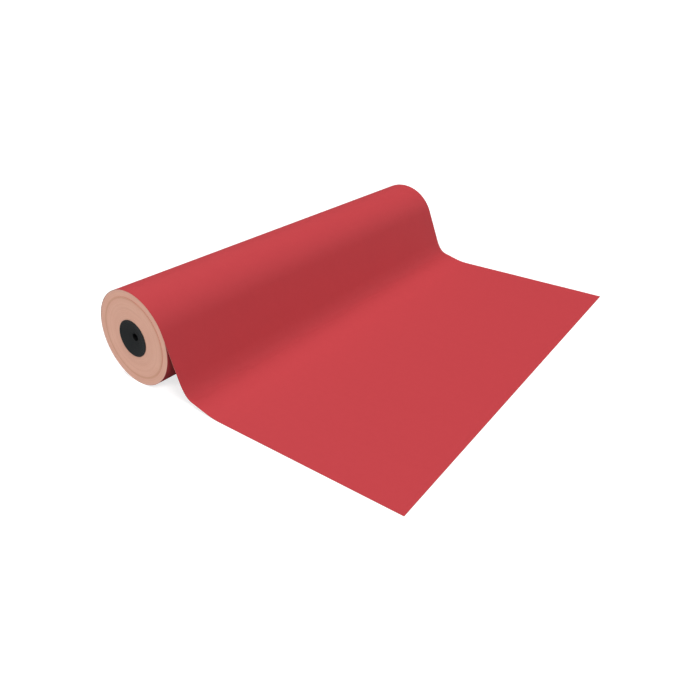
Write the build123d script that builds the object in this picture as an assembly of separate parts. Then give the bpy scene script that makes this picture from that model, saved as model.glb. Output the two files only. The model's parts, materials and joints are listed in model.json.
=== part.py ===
"""A roll of background paper on a board core, with its free end drawn off over the top and laid on the floor.

The roll lies along X with its free end towards -Y. Z is up, and Z = 0 is the floor that the roll lies on.
X = 0 is the middle of the roll's width and Y = 0 is halfway between its back and the sheet's cut edge, so the
origin is the bottom centre of the whole object. All sizes are in millimetres.
"""

from build123d import *
from math import cos, radians, sin, tan
import os

# the roll
ROLL_WIDTH = 914.4  # a stock width of 36 in
ROLL_RADIUS = 94.0
FREE_LENGTH = 586.0  # from the roll's axis to the sheet's cut edge

# the paper, which is drawn thicker here than the real sheet of about 0.2 mm
PAPER = 0.4
TURN_GAP = 0.3  # between the last turn, which stays, and the turns that spin inside it
LEAF_GAP = 0.1  # between the laid sheet and the drawn sheet under it
TENSION_RADIUS = 80.8  # where the winding's tension changed
SET_BACK = 0.4  # of the outer turns' edges behind the inner turns' edges
TUCKED_ANGLE = 8.0  # of the last turn that is missing under the place where the sheet leaves

# the way down from the roll: a steep run, three bends that meet tangentially, and a shallow run
LEAVE_ANGLE = 20.5  # above the roll's axis, on the free end's side
STEEP_END_HEIGHT = 47.0
EASY_BEND_RADIUS = 100.0
EASY_BEND_SLOPE = 56.0
TIGHT_BEND_RADIUS = 32.0
SHALLOW_SLOPE = 14.0
LANDING_RADIUS = 150.0

# the draw: how far the sheet comes out, and what stays tucked under the laid sheet then
DRAW = 350.0
DRAW_OVERLAP = 25.0

# the core and the tape that starts the paper on it
CORE_BORE_RADIUS = 28.575  # a 2 1/4 in bore
CORE_RADIUS = 35.6
CORE_CHAMFER = 0.6
TAPE = 0.15
TAPE_WIDTH = 48.0
TAPE_ANGLE = 50.0
TAPE_PLACES = (-380.0, 0.0, 380.0)
FIRST_TURN_RADIUS = 35.9

# the core plugs
FLANGE_RADIUS = 36.2
FLANGE = 2.0
FLANGE_ROUND = 0.8
CONE_RADIUS = 33.6  # where the hollow of the plug's face begins, inside a narrow flat rim
CONE_WALL = 2.5
HUB_RADIUS = 11.5
HUB_SET_BACK = 4.7  # of the hub's face behind the end of the paper
HUB_LENGTH = 14.0
SPINDLE_RADIUS = 7.5
SPINDLE_CHAMFER = 0.8
BARREL_LENGTH = 32.0
BARREL_RADIUS = 27.7  # where it leaves the flange
BARREL_TIP_RADIUS = 26.9
BARREL_WALL = 2.2
CRUSH_RIBS = 8
CRUSH_RIB_WIDTH = 1.4
CRUSH_RIB_RADIUS = 28.25
CRUSH_RIB_LENGTH = 24.0
STIFFENERS = 6
STIFFENER = 1.8
STIFFENER_BITE = 1.0  # how far a rib's ends run into the hub
STIFFENER_END = -16.0

RADIUS_MATCH = 0.1  # how far an edge's radius may be from the one looked for

AXIS_Y = (FREE_LENGTH - ROLL_RADIUS) / 2
AXIS_Z = ROLL_RADIUS
CUT_EDGE_Y = AXIS_Y - FREE_LENGTH
HALF_WIDTH = ROLL_WIDTH / 2
SHEET_TOP = 2 * PAPER + LEAF_GAP
DOWN = Plane(origin=(-HALF_WIDTH, 0, 0), x_dir=(0, 1, 0), z_dir=(1, 0, 0))  # its x is Y, its y is Z


def round_the_axis(angle, radius):
    """A point of the roll's cross-section, by its angle from +Y towards +Z."""
    return (AXIS_Y + radius * cos(radians(angle)), AXIS_Z + radius * sin(radians(angle)))


def ring(outer, inner, width):
    """A tube round the roll's axis, centred on the roll's width."""
    across = Plane(origin=(-width / 2, AXIS_Y, AXIS_Z), x_dir=(0, 1, 0), z_dir=(1, 0, 0))
    return extrude(across * (Circle(outer) - Circle(inner)), amount=width)


def curved_band(outer, inner, start, sweep, x, width):
    """A piece of a tube round the roll's axis, from one angle through a sweep, starting at x."""
    outside = CenterArc((0, 0), outer, start, sweep)
    inside = CenterArc((0, 0), inner, start, sweep)
    ends = [Line(outside @ 0, inside @ 0), Line(outside @ 1, inside @ 1)]
    across = Plane(origin=(x, AXIS_Y, AXIS_Z), x_dir=(0, 1, 0), z_dir=(1, 0, 0))
    return extrude(across * make_face([outside, inside, *ends]), amount=width)


def slab(front, back, bottom, top):
    """A flat stretch of sheet over the whole width, between two Y and two Z values."""
    middle = (0, (front + back) / 2, (bottom + top) / 2)
    return Pos(middle) * Box(ROLL_WIDTH, back - front, top - bottom)


def bend(start, slope, radius, flatter_slope):
    """An arc that goes on from a start point at one downward slope and ends at a flatter one."""
    turn = slope - flatter_slope
    heading = (-cos(radians(slope)), -sin(radians(slope)))
    return JernArc(start=start, tangent=heading, radius=radius, arc_size=-turn)


def way_down():
    """The sheet's upper face from the roll to the floor, as lines and arcs of the cross-section."""
    steep_slope = 90 - LEAVE_ANGLE
    leave = round_the_axis(180 - LEAVE_ANGLE, ROLL_RADIUS)
    steep_fall = leave[1] - STEEP_END_HEIGHT
    steep_end = (leave[0] - steep_fall / tan(radians(steep_slope)), STEEP_END_HEIGHT)
    steep = Line(leave, steep_end)
    easy = bend(steep @ 1, steep_slope, EASY_BEND_RADIUS, EASY_BEND_SLOPE)
    tight = bend(easy @ 1, EASY_BEND_SLOPE, TIGHT_BEND_RADIUS, SHALLOW_SLOPE)
    landing_fall = LANDING_RADIUS * (1 - cos(radians(SHALLOW_SLOPE)))
    shallow_fall = (tight @ 1).Y - SHEET_TOP - landing_fall
    shallow_end = tight @ 1 - Vector(shallow_fall / tan(radians(SHALLOW_SLOPE)), shallow_fall)
    shallow = Line(tight @ 1, shallow_end)
    landing = bend(shallow @ 1, SHALLOW_SLOPE, LANDING_RADIUS, 0)
    return [steep, easy, tight, shallow, landing]


def paper_drop():
    upper = Wire(way_down())
    section = offset(upper, amount=PAPER, side=Side.LEFT)
    return extrude(DOWN * make_face(section.edges()), amount=ROLL_WIDTH)


def last_turn():
    leave = 180 - LEAVE_ANGLE
    sweep = 360 - TUCKED_ANGLE
    return curved_band(ROLL_RADIUS, ROLL_RADIUS - PAPER, leave, -sweep, -HALF_WIDTH, ROLL_WIDTH)


def landing_y():
    return (way_down()[-1] @ 1).X


def laid_sheet():
    return slab(CUT_EDGE_Y, landing_y(), PAPER + LEAF_GAP, SHEET_TOP)


def drawn_sheet():
    return slab(CUT_EDGE_Y, CUT_EDGE_Y + DRAW + DRAW_OVERLAP, 0, PAPER)


def inner_turns():
    return ring(TENSION_RADIUS, FIRST_TURN_RADIUS, ROLL_WIDTH)


def outer_turns():
    return ring(ROLL_RADIUS - PAPER - TURN_GAP, TENSION_RADIUS, ROLL_WIDTH - 2 * SET_BACK)


def core_tube():
    tube = ring(CORE_RADIUS, CORE_BORE_RADIUS, ROLL_WIDTH)
    circles = tube.edges().filter_by(GeomType.CIRCLE)
    mouths = circles.filter_by(lambda edge: edge.radius < CORE_BORE_RADIUS + RADIUS_MATCH)
    return chamfer(mouths, CORE_CHAMFER)


def start_tape():
    start = 90 - TAPE_ANGLE / 2
    outer = CORE_RADIUS + TAPE
    tabs = [
        curved_band(outer, CORE_RADIUS, start, TAPE_ANGLE, place - TAPE_WIDTH / 2, TAPE_WIDTH)
        for place in TAPE_PLACES
    ]
    return Compound(children=tabs)


def cone_height(radius):
    """The height of the plug's hollow face, at a distance from the plug's axis."""
    rise = (FLANGE + HUB_SET_BACK) / (CONE_RADIUS - HUB_RADIUS)
    return (radius - HUB_RADIUS) * rise - HUB_SET_BACK


def plug_profile():
    """Half of the plug's section, turned about its axis: x is the distance from the axis, y is outwards."""
    barrel_inside = BARREL_TIP_RADIUS - BARREL_WALL
    corners = [
        (SPINDLE_RADIUS, -HUB_SET_BACK),
        (HUB_RADIUS, -HUB_SET_BACK),
        (CONE_RADIUS, FLANGE),
        (FLANGE_RADIUS, FLANGE),
        (FLANGE_RADIUS, 0),
        (BARREL_RADIUS, 0),
        (BARREL_TIP_RADIUS, -BARREL_LENGTH),
        (barrel_inside, -BARREL_LENGTH),
        (barrel_inside, cone_height(barrel_inside) - CONE_WALL),
        (HUB_RADIUS, -HUB_SET_BACK - CONE_WALL),
        (HUB_RADIUS, -HUB_SET_BACK - HUB_LENGTH),
        (SPINDLE_RADIUS, -HUB_SET_BACK - HUB_LENGTH),
    ]
    return make_face(Polyline(*corners, close=True))


def stiffener():
    """A rib behind the hollow face, from inside the hub's wall to inside the barrel's wall."""
    inner = HUB_RADIUS - STIFFENER_BITE
    outer = BARREL_TIP_RADIUS - BARREL_WALL / 2
    corners = [
        (inner, cone_height(inner) - CONE_WALL / 2),
        (outer, cone_height(outer) - CONE_WALL / 2),
        (outer, STIFFENER_END),
        (inner, STIFFENER_END),
    ]
    return extrude(Plane.XZ * make_face(Polyline(*corners, close=True)), amount=STIFFENER / 2, both=True)


def crush_rib():
    """A rib along the outside of the barrel, which grips the core."""
    thickness = CRUSH_RIB_RADIUS - BARREL_TIP_RADIUS + BARREL_WALL / 2
    middle = (CRUSH_RIB_RADIUS - thickness / 2, 0, -CRUSH_RIB_LENGTH / 2)
    return Pos(middle) * Box(thickness, CRUSH_RIB_WIDTH, CRUSH_RIB_LENGTH)


def plug_standing():
    """The plug with its axis on Z, its flange's inner face at Z = 0 and its outer face up."""
    plug = revolve(Plane.XZ * plug_profile(), axis=Axis.Z)
    plug += [Rot(0, 0, 360 / STIFFENERS * i) * stiffener() for i in range(STIFFENERS)]
    plug += [Rot(0, 0, 360 / CRUSH_RIBS * i) * crush_rib() for i in range(CRUSH_RIBS)]
    circles = plug.edges().filter_by(GeomType.CIRCLE)
    rims = circles.filter_by(lambda edge: edge.radius > FLANGE_RADIUS - RADIUS_MATCH)
    plug = fillet(rims.sort_by(Axis.Z)[-1], FLANGE_ROUND)
    circles = plug.edges().filter_by(GeomType.CIRCLE)
    hole = circles.filter_by(lambda edge: abs(edge.radius - SPINDLE_RADIUS) < RADIUS_MATCH)
    return chamfer(hole, SPINDLE_CHAMFER)


def left_core_plug():
    return Pos(-HALF_WIDTH, AXIS_Y, AXIS_Z) * Rot(0, -90, 0) * plug_standing()


def right_core_plug():
    return Pos(HALF_WIDTH, AXIS_Y, AXIS_Z) * Rot(0, 90, 0) * plug_standing()


os.makedirs("parts", exist_ok=True)
for make in (
    core_tube,
    start_tape,
    inner_turns,
    outer_turns,
    last_turn,
    paper_drop,
    laid_sheet,
    drawn_sheet,
    left_core_plug,
    right_core_plug,
):
    export_step(make(), f"parts/{make.__name__}.step")
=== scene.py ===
import json
from math import cos, pi, radians, sin

import bmesh
import bpy
from mathutils import Euler, Matrix, Vector, noise


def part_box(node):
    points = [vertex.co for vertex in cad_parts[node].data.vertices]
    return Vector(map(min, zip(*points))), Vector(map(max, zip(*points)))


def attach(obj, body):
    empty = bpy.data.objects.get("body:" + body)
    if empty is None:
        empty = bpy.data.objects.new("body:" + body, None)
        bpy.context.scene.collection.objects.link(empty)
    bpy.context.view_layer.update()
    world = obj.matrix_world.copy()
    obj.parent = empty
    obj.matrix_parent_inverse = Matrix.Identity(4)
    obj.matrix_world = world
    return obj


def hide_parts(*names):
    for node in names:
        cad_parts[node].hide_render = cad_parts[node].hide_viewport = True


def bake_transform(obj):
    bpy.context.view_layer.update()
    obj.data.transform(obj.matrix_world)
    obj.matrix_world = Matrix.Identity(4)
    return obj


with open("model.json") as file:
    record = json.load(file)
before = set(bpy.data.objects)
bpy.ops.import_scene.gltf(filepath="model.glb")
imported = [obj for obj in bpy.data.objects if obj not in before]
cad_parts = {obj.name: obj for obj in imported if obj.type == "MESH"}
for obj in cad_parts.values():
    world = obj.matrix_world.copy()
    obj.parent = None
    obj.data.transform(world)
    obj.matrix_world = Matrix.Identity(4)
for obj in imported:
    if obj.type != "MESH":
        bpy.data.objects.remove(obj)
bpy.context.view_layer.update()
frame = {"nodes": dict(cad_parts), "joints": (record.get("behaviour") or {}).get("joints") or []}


# The sheet: one long piece of paper, coloured red on its face and pale in its body. Its last turn lies
# round the roll, and from there it comes down to the floor and lies flat to its cut edge. It is modelled as
# a single edge drawn along that way, then given its thickness, so that no joint shows in it.

roll_axis = Vector(next(joint for joint in frame["joints"] if joint["name"] == "roll_spin")["pos_m"])
ROLL_RADIUS = roll_axis.z
SHEET_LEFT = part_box("laid_sheet")[0].x
SHEET_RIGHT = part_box("laid_sheet")[1].x
CUT_EDGE_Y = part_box("laid_sheet")[0].y
PAPER_THICKNESS = 0.0004
TUCKED_ANGLE = radians(8)
LEAVE_ANGLE = radians(20.5)
STEEP_END_HEIGHT = 0.047
EASY_BEND_RADIUS = 0.100
EASY_BEND_SLOPE = radians(56)
TIGHT_BEND_RADIUS = 0.032
SHALLOW_SLOPE = radians(14)
LANDING_RADIUS = 0.150

# how finely the sheet is divided: across it, and along each of its stretches
SHEET_COLUMNS = 60
TURN_STEPS = 150
STEEP_STEPS = 10
EASY_BEND_STEPS = 6
TIGHT_BEND_STEPS = 12
SHALLOW_STEPS = 6
LANDING_STEPS = 6
LAID_STEPS = 40

SPIN_AXIS = (-1, 0, 0)
SAME_POINT = 1e-6
SMOOTH_BELOW = radians(35)


def first_point(name, place):
    """Starts a new piece in edit mode as a single selected point, with nothing else selected."""
    bpy.ops.object.select_all(action="DESELECT")
    bpy.ops.mesh.primitive_plane_add(size=0.001)
    piece = bpy.context.active_object
    piece.name = name
    piece.data.name = name
    bpy.ops.object.mode_set(mode="EDIT")
    bpy.ops.mesh.merge(type="CENTER")
    bpy.ops.transform.translate(value=place)
    return piece


def draw_on(run, steps=1):
    """Extrudes what is selected along a run, in equal steps."""
    for _ in range(steps):
        bpy.ops.mesh.extrude_region_move(TRANSFORM_OT_translate={"value": run / steps})


def heading(slope):
    """The way the paper goes on down towards the cut edge, at a slope below level."""
    return Vector((0, -cos(slope), -sin(slope)))


def bend_on(place, slope, flatter, radius, steps):
    """Spins the paper's free edge round a line above it, from one slope to a flatter one."""
    centre = place + radius * Vector((0, -sin(slope), cos(slope)))
    bpy.ops.mesh.spin(steps=steps, angle=flatter - slope, center=centre, axis=SPIN_AXIS)
    return centre + radius * Vector((0, sin(flatter), -cos(flatter)))


def close_mesh():
    """Merges the doubled points that spinning leaves, and turns the faces outwards."""
    bpy.ops.mesh.select_all(action="SELECT")
    bpy.ops.mesh.remove_doubles(threshold=SAME_POINT)
    bpy.ops.mesh.normals_make_consistent(inside=False)


def make_active(piece):
    """Selects one piece alone."""
    bpy.ops.object.select_all(action="DESELECT")
    piece.select_set(True)
    bpy.context.view_layer.objects.active = piece


def finish_piece(piece):
    """Leaves edit mode, puts the piece's place into its mesh and shades its shallow angles smooth."""
    bpy.ops.object.mode_set(mode="OBJECT")
    make_active(piece)
    bpy.ops.object.transform_apply(location=True, rotation=True, scale=True)
    bpy.ops.object.shade_smooth_by_angle(angle=SMOOTH_BELOW)


tucked_from = TUCKED_ANGLE - LEAVE_ANGLE - pi
tucked_end = roll_axis + ROLL_RADIUS * Vector((0, cos(tucked_from), sin(tucked_from)))
sheet = first_point("paper_sheet", (SHEET_LEFT, tucked_end.y, tucked_end.z))
draw_on(Vector((SHEET_RIGHT - SHEET_LEFT, 0, 0)))
bpy.ops.mesh.select_all(action="SELECT")
bpy.ops.mesh.subdivide(number_cuts=SHEET_COLUMNS - 1)
bpy.ops.mesh.spin(steps=TURN_STEPS, angle=2 * pi - TUCKED_ANGLE, center=roll_axis, axis=SPIN_AXIS)

steep_slope = pi / 2 - LEAVE_ANGLE
place = roll_axis + ROLL_RADIUS * Vector((0, -cos(LEAVE_ANGLE), sin(LEAVE_ANGLE)))
steep_run = heading(steep_slope) * ((place.z - STEEP_END_HEIGHT) / sin(steep_slope))
draw_on(steep_run, STEEP_STEPS)
place = bend_on(place + steep_run, steep_slope, EASY_BEND_SLOPE, EASY_BEND_RADIUS, EASY_BEND_STEPS)
place = bend_on(place, EASY_BEND_SLOPE, SHALLOW_SLOPE, TIGHT_BEND_RADIUS, TIGHT_BEND_STEPS)
landing_fall = LANDING_RADIUS * (1 - cos(SHALLOW_SLOPE))
shallow_fall = place.z - PAPER_THICKNESS - landing_fall
shallow_run = heading(SHALLOW_SLOPE) * (shallow_fall / sin(SHALLOW_SLOPE))
draw_on(shallow_run, SHALLOW_STEPS)
place = bend_on(place + shallow_run, SHALLOW_SLOPE, 0, LANDING_RADIUS, LANDING_STEPS)
landing_y = place.y
laid_run = heading(0) * (landing_y - CUT_EDGE_Y)
draw_on(laid_run, LAID_STEPS)
close_mesh()
finish_piece(sheet)
cut_edge_face = min(sheet.data.polygons, key=lambda face: face.center.y)
if cut_edge_face.normal.z < 0:
    sheet.data.flip_normals()

# free paper is never quite flat: a shallow waviness that fades out towards the roll, which holds the paper
WAVE_HEIGHT = 0.00012
WAVES_ACROSS = 9
WAVES_ALONG = 13
WAVE_SEED = 4.0
WAVE_FADE = 0.10
waves_begin = landing_y + WAVE_FADE / 2
for point in sheet.data.vertices:
    freed = min(max((waves_begin - point.co.y) / WAVE_FADE, 0), 1)
    wave = noise.noise(Vector((point.co.x * WAVES_ACROSS, point.co.y * WAVES_ALONG, WAVE_SEED)))
    point.co.z += WAVE_HEIGHT * freed * (wave + 1)


def put(tree, kind, inputs=None, **settings):
    """Adds a node with its settings, and links or sets its inputs. A colour is given as three values."""
    node = tree.nodes.new(kind)
    for name, value in settings.items():
        setattr(node, name, value)
    for name, value in (inputs or {}).items():
        socket = node.inputs[name]
        if isinstance(value, bpy.types.NodeSocket):
            tree.links.new(value, socket)
        elif socket.type == "RGBA":
            socket.default_value = (*value, 1)
        else:
            socket.default_value = value
    return node


def sums(tree, operation, *values):
    """A math node's result."""
    return put(tree, "ShaderNodeMath", dict(enumerate(values)), operation=operation).outputs[0]


def stronger(tree, pattern, strength, base):
    """A pattern centred on 0, times a strength, laid over a base."""
    return sums(tree, "MULTIPLY_ADD", pattern, strength, base)


def added_up(tree, *parts):
    """Patterns centred on 0, each times its own strength, added up round 0.5."""
    tone = 0.5
    for pattern, strength in parts:
        tone = stronger(tree, pattern, strength, base=tone)
    return tone


# the colour mix node's sockets go by number, because its other kinds of socket have the same names
MIX_FACTOR = 0
MIX_FIRST = 6
MIX_SECOND = 7
MIX_RESULT = 2


def mixed(tree, factor, first, second, blend="MIX"):
    """The first colour where a factor is 0, going over into the second, or into their product, at 1."""
    colours = {MIX_FACTOR: factor, MIX_FIRST: first, MIX_SECOND: second}
    mix = put(tree, "ShaderNodeMix", colours, data_type="RGBA", blend_type=blend)
    return mix.outputs[MIX_RESULT]


def pattern_group(name, strengths):
    """A new shader node group that takes the strengths of its patterns and puts out a tone and a relief."""
    group = bpy.data.node_groups.new(name, "ShaderNodeTree")
    for word, value in strengths.items():
        socket = group.interface.new_socket(word, in_out="INPUT", socket_type="NodeSocketFloat")
        socket.default_value = value
    for word in ("Tone", "Relief"):
        group.interface.new_socket(word, in_out="OUTPUT", socket_type="NodeSocketFloat")
    return group, group.nodes.new("NodeGroupInput").outputs, group.nodes.new("NodeGroupOutput").inputs


def stretched_noise(tree, scale, detail, roughness=0.5):
    """Noise on Object coordinates, centred on 0, with its own scale along X, Y and Z in waves a metre."""
    at = put(tree, "ShaderNodeTexCoord").outputs["Object"]
    at = put(tree, "ShaderNodeMapping", {"Vector": at, "Scale": scale}).outputs[0]
    grain = {"Vector": at, "Scale": 1.0, "Detail": detail, "Roughness": roughness}
    return sums(tree, "SUBTRACT", put(tree, "ShaderNodeTexNoise", grain).outputs[0], 0.5)


def even_noise(tree, scale, detail, roughness):
    """The same noise with one scale every way."""
    return stretched_noise(tree, (scale, scale, scale), detail, roughness)


def paper_grain():
    """Fibres that lie along the sheet, the clouds of pressed pulp, and faint streaks from the rollers."""
    group, given, result = pattern_group("paper grain", {"Fibres": 0.5, "Clouds": 0.5, "Streaks": 0.3})
    fibres = stretched_noise(group, scale=(2600, 700, 700), detail=3, roughness=0.65)
    clouds = stretched_noise(group, scale=(110, 80, 80), detail=5, roughness=0.6)
    streaks = stretched_noise(group, scale=(70, 1.5, 1.5), detail=3)
    tone = added_up(group, (fibres, given["Fibres"]), (clouds, given["Clouds"]), (streaks, given["Streaks"]))
    group.links.new(tone, result["Tone"])
    group.links.new(stronger(group, clouds, strength=0.8, base=fibres), result["Relief"])
    return group


paper_grain_group = paper_grain()


def new_finish(name, roughness, specular):
    """A material with one plain shader, and its node tree."""
    finish = bpy.data.materials.new(name)
    finish.use_nodes = True
    shader = finish.node_tree.nodes["Principled BSDF"]
    shader.inputs["Roughness"].default_value = roughness
    shader.inputs["Specular IOR Level"].default_value = specular
    return finish, finish.node_tree, shader.inputs


def emboss(tree, shader, relief, strength, depth):
    """Lets a relief show on a finish as bumps of a depth."""
    bump = put(tree, "ShaderNodeBump", {"Height": relief, "Strength": strength, "Distance": depth})
    tree.links.new(bump.outputs["Normal"], shader["Normal"])


def paper_finish(name, dark, light, grain, relief):
    """Uncoated paper between two tones of one colour, with its grain's strengths."""
    finish, tree, shader = new_finish(name, roughness=0.72, specular=0.25)
    pattern = put(tree, "ShaderNodeGroup", grain, node_tree=paper_grain_group).outputs
    tree.links.new(mixed(tree, pattern["Tone"], dark, light), shader["Base Color"])
    emboss(tree, shader, pattern["Relief"], strength=relief, depth=0.00012)
    return finish


red_face = paper_finish(
    "red paper face",
    dark=(0.430, 0.036, 0.044),
    light=(0.490, 0.046, 0.055),
    grain={"Fibres": 0.8, "Clouds": 0.35, "Streaks": 0.15},
    relief=0.25,
)
pale_back = paper_finish(
    "pale paper back",
    dark=(0.560, 0.330, 0.250),
    light=(0.700, 0.440, 0.350),
    grain={"Fibres": 1.2, "Clouds": 1.0, "Streaks": 0.5},
    relief=0.35,
)

# the thickness is given last, with both finishes in place: the back and the cut edges take the pale one
sheet.data.materials.append(red_face)
sheet.data.materials.append(pale_back)
wall = sheet.modifiers.new("thickness", "SOLIDIFY")
wall.thickness = PAPER_THICKNESS
wall.offset = -1
wall.material_offset = 1
wall.material_offset_rim = 1
bpy.ops.object.modifier_apply(modifier=wall.name)
bpy.ops.object.shade_smooth_by_angle(angle=SMOOTH_BELOW)

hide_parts("last_turn", "paper_drop", "laid_sheet", "drawn_sheet")
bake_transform(sheet)


# The wound turns: the rest of the same sheet, hundreds of turns thick. Their edges make the pale end faces,
# where each turn shows as a hair line and small shifts in the winding stand out as shallow steps. The outer
# turns were wound at another tension and lie a little further in, which leaves a ring on the end face.

WOUND_SPLIT = (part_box("inner_turns")[1].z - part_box("inner_turns")[0].z) / 2
FIRST_TURN_GAP = 0.0003
FIRST_TURN_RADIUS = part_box("core_tube")[1].z - roll_axis.z + FIRST_TURN_GAP
WOUND_SIDES = 180
WIND_STEP = 0.00115

# how far the turns lie from level with each other: single turns, and bundles of them, in waves a metre
TURN_SHIFT = 0.00007
TURN_WAVES = 900
TURN_SEED = 0.5
BUNDLE_SHIFT = 3 * TURN_SHIFT
BUNDLE_WAVES = 160
BUNDLE_SEED = 8.5

# the rings that show on the end faces: a dark one of painted shade at the step where the tension changes,
# one light at the rim
STEP_SHADE_INSET = 0.0017
STEP_SHADE_REACH = 0.0036
RIM_REACH = 0.0060


def draw_section(name, points):
    """Starts a piece and draws a closed section in the XZ plane: x is out from the Z axis, z is along it."""
    piece = first_point(name, (points[0][0], 0, points[0][1]))
    for here, there in zip(points, points[1:]):
        draw_on(Vector((there[0] - here[0], 0, there[1] - here[1])))
    mesh = bmesh.from_edit_mesh(piece.data)
    mesh.verts.ensure_lookup_table()
    mesh.verts[0].select = True
    bmesh.update_edit_mesh(piece.data)
    bpy.ops.mesh.edge_face_add()
    return piece


def turn_section(sides):
    """Spins the whole section round the Z axis into a closed solid."""
    bpy.ops.mesh.select_all(action="SELECT")
    bpy.ops.mesh.spin(steps=sides, angle=2 * pi, center=(0, 0, 0), axis=(0, 0, 1))
    close_mesh()


def lay_on_axis(piece, x, outwards):
    """Turns a piece's own Z axis along the roll, outwards to the left (-1) or right (1), at an x."""
    place = Matrix.Translation((x, roll_axis.y, roll_axis.z))
    piece.matrix_world = place @ Matrix.Rotation(outwards * pi / 2, 4, "Y")


def end_face(inner, outer, height, seed):
    """The winding's edge from one radius to another: a shallow, uneven flight of steps."""
    count = round((outer - inner) / WIND_STEP)
    face = []
    for i in range(count + 1):
        radius = inner + (outer - inner) * i / count
        turn = noise.noise(Vector((radius * TURN_WAVES, seed, TURN_SEED)))
        bundle = noise.noise(Vector((radius * BUNDLE_WAVES, seed, BUNDLE_SEED)))
        face.append((radius, height + TURN_SHIFT * turn + BUNDLE_SHIFT * bundle))
    return face


def wound_paper(name, node, inner, seeds):
    """A ring of wound paper as big as its node, with its right and left end faces stepped."""
    low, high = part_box(node)
    outer = (high.z - low.z) / 2
    end = high.x - BUNDLE_SHIFT
    right_end = end_face(inner, outer, end, seeds[0])
    left_end = end_face(inner, outer, -end, seeds[1])
    piece = draw_section(name, right_end + left_end[::-1])
    turn_section(WOUND_SIDES)
    lay_on_axis(piece, 0, 1)
    finish_piece(piece)
    return piece


inner_wound = wound_paper("inner_wound_paper", "inner_turns", FIRST_TURN_RADIUS, seeds=(1.3, 6.3))
outer_wound = wound_paper("outer_wound_paper", "outer_turns", WOUND_SPLIT, seeds=(2.9, 7.9))


def centred_on_axis(tree):
    """Object coordinates measured from the roll's axis."""
    at = put(tree, "ShaderNodeTexCoord").outputs["Object"]
    shift = {"Vector": at, "Location": (0, -roll_axis.y, -roll_axis.z)}
    return put(tree, "ShaderNodeMapping", shift).outputs[0]


def from_axis(tree):
    """The distance from the roll's axis, in metres."""
    across = {0: centred_on_axis(tree), 1: (0, 1, 1)}
    across = put(tree, "ShaderNodeVectorMath", across, operation="MULTIPLY").outputs[0]
    return put(tree, "ShaderNodeVectorMath", {0: across}, operation="LENGTH").outputs["Value"]


def ring_noise(tree, distance, scale, detail):
    """Noise that changes only with the distance from the axis, centred on 0."""
    rings = {"W": distance, "Scale": scale, "Detail": detail}
    pattern = put(tree, "ShaderNodeTexNoise", rings, noise_dimensions="1D")
    return sums(tree, "SUBTRACT", pattern.outputs[0], 0.5)


def layer_lines():
    """Rings round the roll's axis: single turns, small bundles of turns, and broad bands."""
    group, given, result = pattern_group("layer lines", {"Turns": 1.0, "Bundles": 0.6, "Bands": 0.5})
    distance = from_axis(group)
    turns = ring_noise(group, distance, scale=3600, detail=2)
    bundles = ring_noise(group, distance, scale=620, detail=2)
    bands = ring_noise(group, distance, scale=110, detail=2)
    tone = added_up(group, (turns, given["Turns"]), (bundles, given["Bundles"]), (bands, given["Bands"]))
    group.links.new(tone, result["Tone"])
    group.links.new(stronger(group, bundles, strength=0.7, base=turns), result["Relief"])
    return group


layer_lines_group = layer_lines()


def ring_mask(tree, distance, radius, reach):
    """1 on a ring of one radius, falling smoothly to 0 at a reach to either side."""
    away = sums(tree, "ABSOLUTE", sums(tree, "SUBTRACT", distance, radius))
    fall = {"Value": away, "From Min": 0.0, "From Max": reach, "To Min": 1.0, "To Max": 0.0}
    return put(tree, "ShaderNodeMapRange", fall, interpolation_type="SMOOTHSTEP").outputs["Result"]


def wound_edge_finish():
    """The end faces: pale paper edges with a hint of the red face in each, rubbed here and there."""
    finish, tree, shader = new_finish("wound paper edges", roughness=0.85, specular=0.15)
    strengths = {"Turns": 0.9, "Bundles": 0.55, "Bands": 0.35}
    lines = put(tree, "ShaderNodeGroup", strengths, node_tree=layer_lines_group).outputs
    edges = mixed(tree, lines["Tone"], (0.680, 0.365, 0.275), (0.850, 0.515, 0.395))
    distance = from_axis(tree)
    # painted shade: a dark ring near the change of tension stands in for the shade of the step there
    painted_step_shade = ring_mask(tree, distance, WOUND_SPLIT - STEP_SHADE_INSET, STEP_SHADE_REACH)
    edges = mixed(tree, painted_step_shade, edges, (0.88, 0.83, 0.78), "MULTIPLY")
    rim = ring_mask(tree, distance, ROLL_RADIUS, RIM_REACH)
    edges = mixed(tree, rim, edges, (1.04, 1.07, 1.14), "MULTIPLY")
    patches = even_noise(tree, scale=45, detail=4, roughness=0.6)
    rubbed = stronger(tree, patches, strength=1.6, base=0.35)
    edges = mixed(tree, rubbed, edges, (0.97, 0.93, 0.92), "MULTIPLY")
    tree.links.new(edges, shader["Base Color"])
    emboss(tree, shader, lines["Relief"], strength=0.5, depth=0.0001)
    return finish


wound_edges = wound_edge_finish()
for piece, node in ((inner_wound, "inner_turns"), (outer_wound, "outer_turns")):
    piece.data.materials.append(wound_edges)
    piece.data.materials.append(red_face)
    for face in piece.data.polygons:
        looks_along_roll = abs(face.normal.x) > 0.5
        face.material_index = 0 if looks_along_roll else 1
    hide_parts(node)
    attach(piece, "roll")


# The core: a tube of grey-brown board, wound from strips in a spiral and glued, so that a hair seam runs
# round it inside and out and its mouths show the plies as rings.

PLY_PITCH = 0.105
SEAM_SHARE = 0.006  # of the pitch, to each side of the seam's middle


def spiral_seam(tree):
    """1 along the strips' seam, which climbs one pitch in each turn, and 0 away from it."""
    parts = put(tree, "ShaderNodeSeparateXYZ", {0: centred_on_axis(tree)}).outputs
    turned = sums(tree, "DIVIDE", sums(tree, "ARCTAN2", parts["Z"], parts["Y"]), 2 * pi)
    climbed = sums(tree, "DIVIDE", parts["X"], PLY_PITCH)
    from_seam = sums(tree, "PINGPONG", sums(tree, "ADD", turned, climbed), 0.5)
    return sums(tree, "LESS_THAN", from_seam, SEAM_SHARE)


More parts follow.
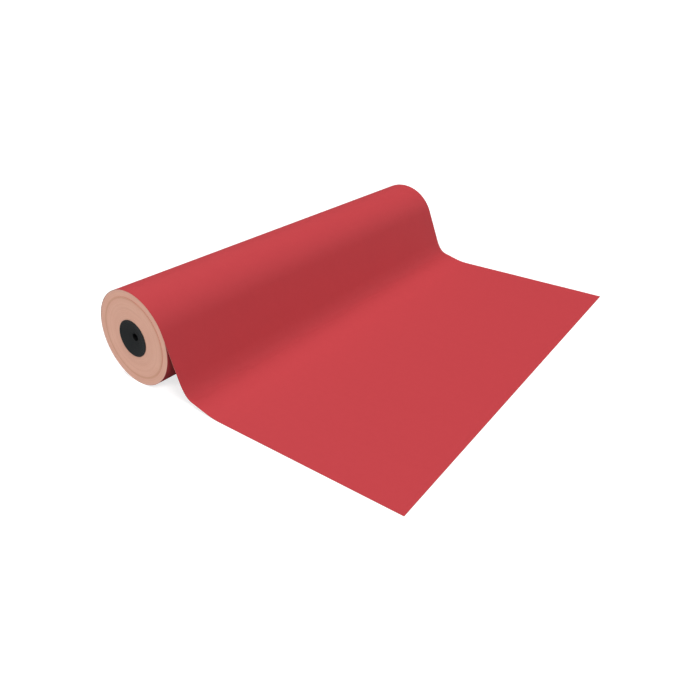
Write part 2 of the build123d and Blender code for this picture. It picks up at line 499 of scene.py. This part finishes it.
def board_finish():
    """Recycled board: grey-brown, flecked, with its plies and its spiral seam."""
    finish, tree, shader = new_finish("core board", roughness=0.88, specular=0.15)
    flecks = {"Fibres": 1.4, "Clouds": 1.2, "Streaks": 0.0}
    grain = put(tree, "ShaderNodeGroup", flecks, node_tree=paper_grain_group).outputs
    plies = {"Turns": 0.3, "Bundles": 1.6, "Bands": 0.2}
    lines = put(tree, "ShaderNodeGroup", plies, node_tree=layer_lines_group).outputs
    tone = sums(tree, "MULTIPLY", sums(tree, "ADD", grain["Tone"], lines["Tone"]), 0.5)
    board = mixed(tree, tone, (0.190, 0.135, 0.090), (0.380, 0.290, 0.205))
    board = mixed(tree, spiral_seam(tree), board, (0.35, 0.32, 0.30), "MULTIPLY")
    tree.links.new(board, shader["Base Color"])
    emboss(tree, shader, grain["Relief"], strength=0.5, depth=0.0002)
    return finish


core = frame["nodes"]["core_tube"]
core.data.materials.clear()
core.data.materials.append(board_finish())


# The start tape: three tabs of tan paper tape that hold the sheet's inner end on the core. They are shut in
# between the core and the first turn.


def tape_finish():
    """Creped tan paper tape."""
    finish, tree, shader = new_finish("tan paper tape", roughness=0.55, specular=0.35)
    crepe = stretched_noise(tree, scale=(1900, 260, 260), detail=2)
    tone = sums(tree, "ADD", crepe, 0.5)
    tree.links.new(mixed(tree, tone, (0.47, 0.34, 0.17), (0.62, 0.48, 0.27)), shader["Base Color"])
    emboss(tree, shader, crepe, strength=0.4, depth=0.0001)
    return finish


tape = frame["nodes"]["start_tape"]
tape.data.materials.clear()
tape.data.materials.append(tape_finish())


# The core plugs: one black moulding, used in both ends. A flange with a narrow flat rim covers the core's
# mouth, its face falls in a shallow cone to a hub with the spindle hole, and a ribbed barrel grips the bore.

FLANGE_RADIUS = (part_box("left_core_plug")[1].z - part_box("left_core_plug")[0].z) / 2
FLANGE = SHEET_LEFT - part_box("left_core_plug")[0].x
BARREL_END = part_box("left_core_plug")[1].x - SHEET_LEFT
CONE_RADIUS = 0.0336
CONE_WALL = 0.0025
HUB_RADIUS = 0.0115
HUB_SET_BACK = 0.0047
HUB_LENGTH = 0.014
SPINDLE_RADIUS = 0.0075
BARREL_RADIUS = 0.0277
BARREL_TIP_RADIUS = 0.0269
BARREL_WALL = 0.0022
STIFFENERS = 6
STIFFENER = 0.0018
STIFFENER_BITE = 0.001
STIFFENER_END = -0.016
CRUSH_RIBS = 8
CRUSH_RIB_RADIUS = 0.02825
CRUSH_RIB_WIDTH = 0.0014
CRUSH_RIB_START = -0.0005
CRUSH_RIB_END = -0.024
CRUSH_RIB_RUN_IN = 0.003
PLUG_SIDES = 144
EDGE_ROUND = 0.0006
EDGE_ROUND_STEPS = 4
SHARP_ABOVE = radians(40)
RUBBED_RIM = 0.0014
RUBBED_MOUTH = 0.0004
# how far the painted shade of the spindle hole reaches from its wall
BORE_SHADE_REACH = 0.0003


def cone_height(radius):
    """The height of the plug's hollow face at a distance from its axis."""
    rise = (FLANGE + HUB_SET_BACK) / (CONE_RADIUS - HUB_RADIUS)
    return (radius - HUB_RADIUS) * rise - HUB_SET_BACK


def plug_body():
    """The plug without its ribs, turned from half its section, with its edges rounded."""
    barrel_inside = BARREL_TIP_RADIUS - BARREL_WALL
    section = [
        (SPINDLE_RADIUS, -HUB_SET_BACK),
        (HUB_RADIUS, -HUB_SET_BACK),
        (CONE_RADIUS, FLANGE),
        (FLANGE_RADIUS, FLANGE),
        (FLANGE_RADIUS, 0),
        (BARREL_RADIUS, 0),
        (BARREL_TIP_RADIUS, -BARREL_END),
        (barrel_inside, -BARREL_END),
        (barrel_inside, cone_height(barrel_inside) - CONE_WALL),
        (HUB_RADIUS, -HUB_SET_BACK - CONE_WALL),
        (HUB_RADIUS, -HUB_SET_BACK - HUB_LENGTH),
        (SPINDLE_RADIUS, -HUB_SET_BACK - HUB_LENGTH),
    ]
    plug = draw_section("core_plug", section)
    turn_section(PLUG_SIDES)
    finish_piece(plug)
    rounding = plug.modifiers.new("rounded edges", "BEVEL")
    rounding.width = EDGE_ROUND
    rounding.segments = EDGE_ROUND_STEPS
    rounding.limit_method = "ANGLE"
    rounding.angle_limit = SHARP_ABOVE
    bpy.ops.object.modifier_apply(modifier=rounding.name)
    return plug


def ribs(name, outline, thickness, count):
    """Ribs drawn as an outline in the plug's section, given a thickness and set evenly round its axis."""
    made = []
    for i in range(count):
        rib = draw_section(name, outline)
        bpy.ops.mesh.select_all(action="SELECT")
        bpy.ops.mesh.edge_face_add()
        bpy.ops.transform.translate(value=(0, -thickness / 2, 0))
        bpy.ops.mesh.extrude_region_move(TRANSFORM_OT_translate={"value": (0, thickness, 0)})
        bpy.ops.mesh.select_all(action="SELECT")
        bpy.ops.mesh.normals_make_consistent(inside=False)
        bpy.ops.object.mode_set(mode="OBJECT")
        rib.matrix_world = Matrix.Rotation(2 * pi / count * i, 4, "Z") @ rib.matrix_world
        made.append(rib)
    return made


def stiffeners():
    """The ribs behind the hollow face, from inside the hub's wall to inside the barrel's wall."""
    inner = HUB_RADIUS - STIFFENER_BITE
    outer = BARREL_TIP_RADIUS - BARREL_WALL / 2
    outline = [
        (inner, cone_height(inner) - CONE_WALL / 2),
        (outer, cone_height(outer) - CONE_WALL / 2),
        (outer, STIFFENER_END),
        (inner, STIFFENER_END),
    ]
    return ribs("stiffener", outline, STIFFENER, STIFFENERS)


def crush_ribs():
    """The ribs along the outside of the barrel, with a slope that leads them into the core."""
    inner = BARREL_TIP_RADIUS - BARREL_WALL / 2
    outline = [
        (inner, CRUSH_RIB_START),
        (CRUSH_RIB_RADIUS, CRUSH_RIB_START),
        (CRUSH_RIB_RADIUS, CRUSH_RIB_END + CRUSH_RIB_RUN_IN),
        (BARREL_TIP_RADIUS, CRUSH_RIB_END),
        (inner, CRUSH_RIB_END),
    ]
    return ribs("crush_rib", outline, CRUSH_RIB_WIDTH, CRUSH_RIBS)


def weld(piece, others):
    """Joins other closed pieces to this one and removes them."""
    for other in others:
        join = piece.modifiers.new("weld", "BOOLEAN")
        join.operation = "UNION"
        join.object = other
        join.solver = "EXACT"
        make_active(piece)
        bpy.ops.object.modifier_apply(modifier=join.name)
        bpy.data.objects.remove(other, do_unlink=True)


def moulded_grain():
    """The fine pebble of a spark-worn mould, with faint flow marks round the hub."""
    group, given, result = pattern_group("moulded grain", {"Pebble": 1.0, "Flow": 0.5})
    pebble = even_noise(group, scale=1100, detail=3, roughness=0.6)
    flow = ring_noise(group, from_axis(group), scale=260, detail=2)
    tone = added_up(group, (pebble, given["Pebble"]), (flow, given["Flow"]))
    group.links.new(tone, result["Tone"])
    group.links.new(pebble, result["Relief"])
    return group


def rubbed_edges(tree, distance):
    """Where the flange's rim and the spindle hole's mouth are rubbed grey, in patches."""
    rim = ring_mask(tree, distance, FLANGE_RADIUS, RUBBED_RIM)
    mouth = ring_mask(tree, distance, SPINDLE_RADIUS + RUBBED_MOUTH, RUBBED_MOUTH)
    patches = even_noise(tree, scale=240, detail=4, roughness=0.7)
    patches = stronger(tree, patches, strength=2.4, base=0.35)
    return sums(tree, "MULTIPLY", sums(tree, "MAXIMUM", rim, mouth), patches)


def settled_dust(tree):
    """A thin dust in patches, with clean plastic between them."""
    patches = even_noise(tree, scale=130, detail=5, roughness=0.7)
    return sums(tree, "MAXIMUM", stronger(tree, patches, strength=0.25, base=-0.02), 0.0)


def plug_finish():
    """Black polypropylene: pebbled, rubbed at its edges, with a little dust on it, and its spindle hole
    darkened with painted shade.
    """
    finish, tree, shader = new_finish("black plug plastic", roughness=0.6, specular=0.16)
    grain = put(tree, "ShaderNodeGroup", node_tree=moulded_grain()).outputs
    distance = from_axis(tree)
    plastic = mixed(tree, grain["Tone"], (0.009, 0.011, 0.012), (0.017, 0.020, 0.021))
    plastic = mixed(tree, rubbed_edges(tree, distance), plastic, (0.040, 0.041, 0.042))
    # painted shade: the spindle hole's wall and mouth are darkened to stand in for the shade inside the hole
    painted_bore_shade = ring_mask(tree, distance, SPINDLE_RADIUS, BORE_SHADE_REACH)
    plastic = mixed(tree, painted_bore_shade, plastic, (0.25, 0.25, 0.25), "MULTIPLY")
    dust = settled_dust(tree)
    tree.links.new(mixed(tree, dust, plastic, (0.22, 0.17, 0.15)), shader["Base Color"])
    tree.links.new(stronger(tree, dust, strength=0.8, base=0.56), shader["Roughness"])
    emboss(tree, shader, grain["Relief"], strength=0.8, depth=0.0006)
    return finish


plug_plastic = plug_finish()
left_plug = plug_body()
weld(left_plug, stiffeners() + crush_ribs())
right_plug = left_plug.copy()
right_plug.data = left_plug.data.copy()
bpy.context.scene.collection.objects.link(right_plug)
for plug, name, node, body, x, outwards in (
    (left_plug, "left_plug_moulding", "left_core_plug", "left_plug", SHEET_LEFT, -1),
    (right_plug, "right_plug_moulding", "right_core_plug", "right_plug", SHEET_RIGHT, 1),
):
    plug.name = name
    plug.data.name = name
    plug.data.materials.clear()
    plug.data.materials.append(plug_plastic)
    lay_on_axis(plug, x, outwards)
    finish_piece(plug)
    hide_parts(node)
    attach(plug, body)


# The studio: a white floor and a white room that give off little light of their own. Four soft lights stand
# high in front of the sheet, low on the left, high behind the roll and, weakly, low on the right, so that
# the roll's front and the bends under it lie in a soft shade.

FLOOR_SIZE = 60
FLOOR_DROP = 0.0003  # below the paper, so that the two never flicker into each other
FLOOR_GLOW = 0.75
ROOM_LIGHT = 0.02
ROOM_WHITE = 1.2
LIGHT_HEIGHT = 3


def seen_by_camera(tree):
    """1 for what the camera looks at directly, and 0 for light on its way round the room."""
    return put(tree, "ShaderNodeLightPath").outputs["Is Camera Ray"]


bpy.ops.object.select_all(action="DESELECT")
bpy.ops.mesh.primitive_plane_add(size=FLOOR_SIZE, location=(0, 0, -FLOOR_DROP))
floor = bpy.context.active_object
floor.name = "studio_floor"
floor_finish, floor_tree, floor_shader = new_finish("white floor", roughness=0.9, specular=0.0)
floor_shader["Base Color"].default_value = (0.42, 0.42, 0.42, 1)
floor_shader["Emission Color"].default_value = (1, 1, 1, 1)
floor_glow = sums(floor_tree, "MULTIPLY", seen_by_camera(floor_tree), FLOOR_GLOW)
floor_tree.links.new(floor_glow, floor_shader["Emission Strength"])
floor.data.materials.append(floor_finish)

room = bpy.data.worlds.new("white room")
room.use_nodes = True
room_walls = room.node_tree.nodes["Background"].inputs
room_walls["Color"].default_value = (1, 1, 1, 1)
room_glow = sums(
    room.node_tree, "MULTIPLY_ADD", seen_by_camera(room.node_tree), ROOM_WHITE - ROOM_LIGHT, ROOM_LIGHT
)
room.node_tree.links.new(room_glow, room_walls["Strength"])
bpy.context.scene.world = room

for name, strength, softness, slope, turn in (
    ("front_light", 1.92, radians(20), radians(45), radians(-20)),
    ("side_light", 1.36, radians(20), radians(60), radians(-90)),
    ("back_light", 1.76, radians(20), radians(-27), radians(0)),
    ("fill_light", 0.45, radians(40), radians(68), radians(55)),
):
    lamp = bpy.data.lights.new(name, "SUN")
    lamp.energy = strength
    lamp.angle = softness
    stand = bpy.data.objects.new(name, lamp)
    stand.rotation_euler = (slope, 0, turn)
    stand.location = (0, 0, LIGHT_HEIGHT)
    bpy.context.scene.collection.objects.link(stand)

CAMERA_PLACE = (-1.0419, -0.6828, 0.6523)
CAMERA_DIP = radians(24.30)
CAMERA_TURN = radians(-55.77)
CAMERA_LEAN = radians(1.035)
camera = bpy.data.cameras.new("camera")
camera.sensor_width = 36
camera.lens = 32.48
camera.shift_x = -0.0367
camera.shift_y = -0.0851
camera.clip_start = 0.01
camera_stand = bpy.data.objects.new("camera", camera)
aim = Euler((pi / 2 - CAMERA_DIP, 0, CAMERA_TURN)).to_matrix() @ Matrix.Rotation(CAMERA_LEAN, 3, "Z")
camera_stand.location = CAMERA_PLACE
camera_stand.rotation_euler = aim.to_euler()
bpy.context.scene.collection.objects.link(camera_stand)
bpy.context.scene.camera = camera_stand
bpy.context.scene.view_settings.view_transform = "Standard"
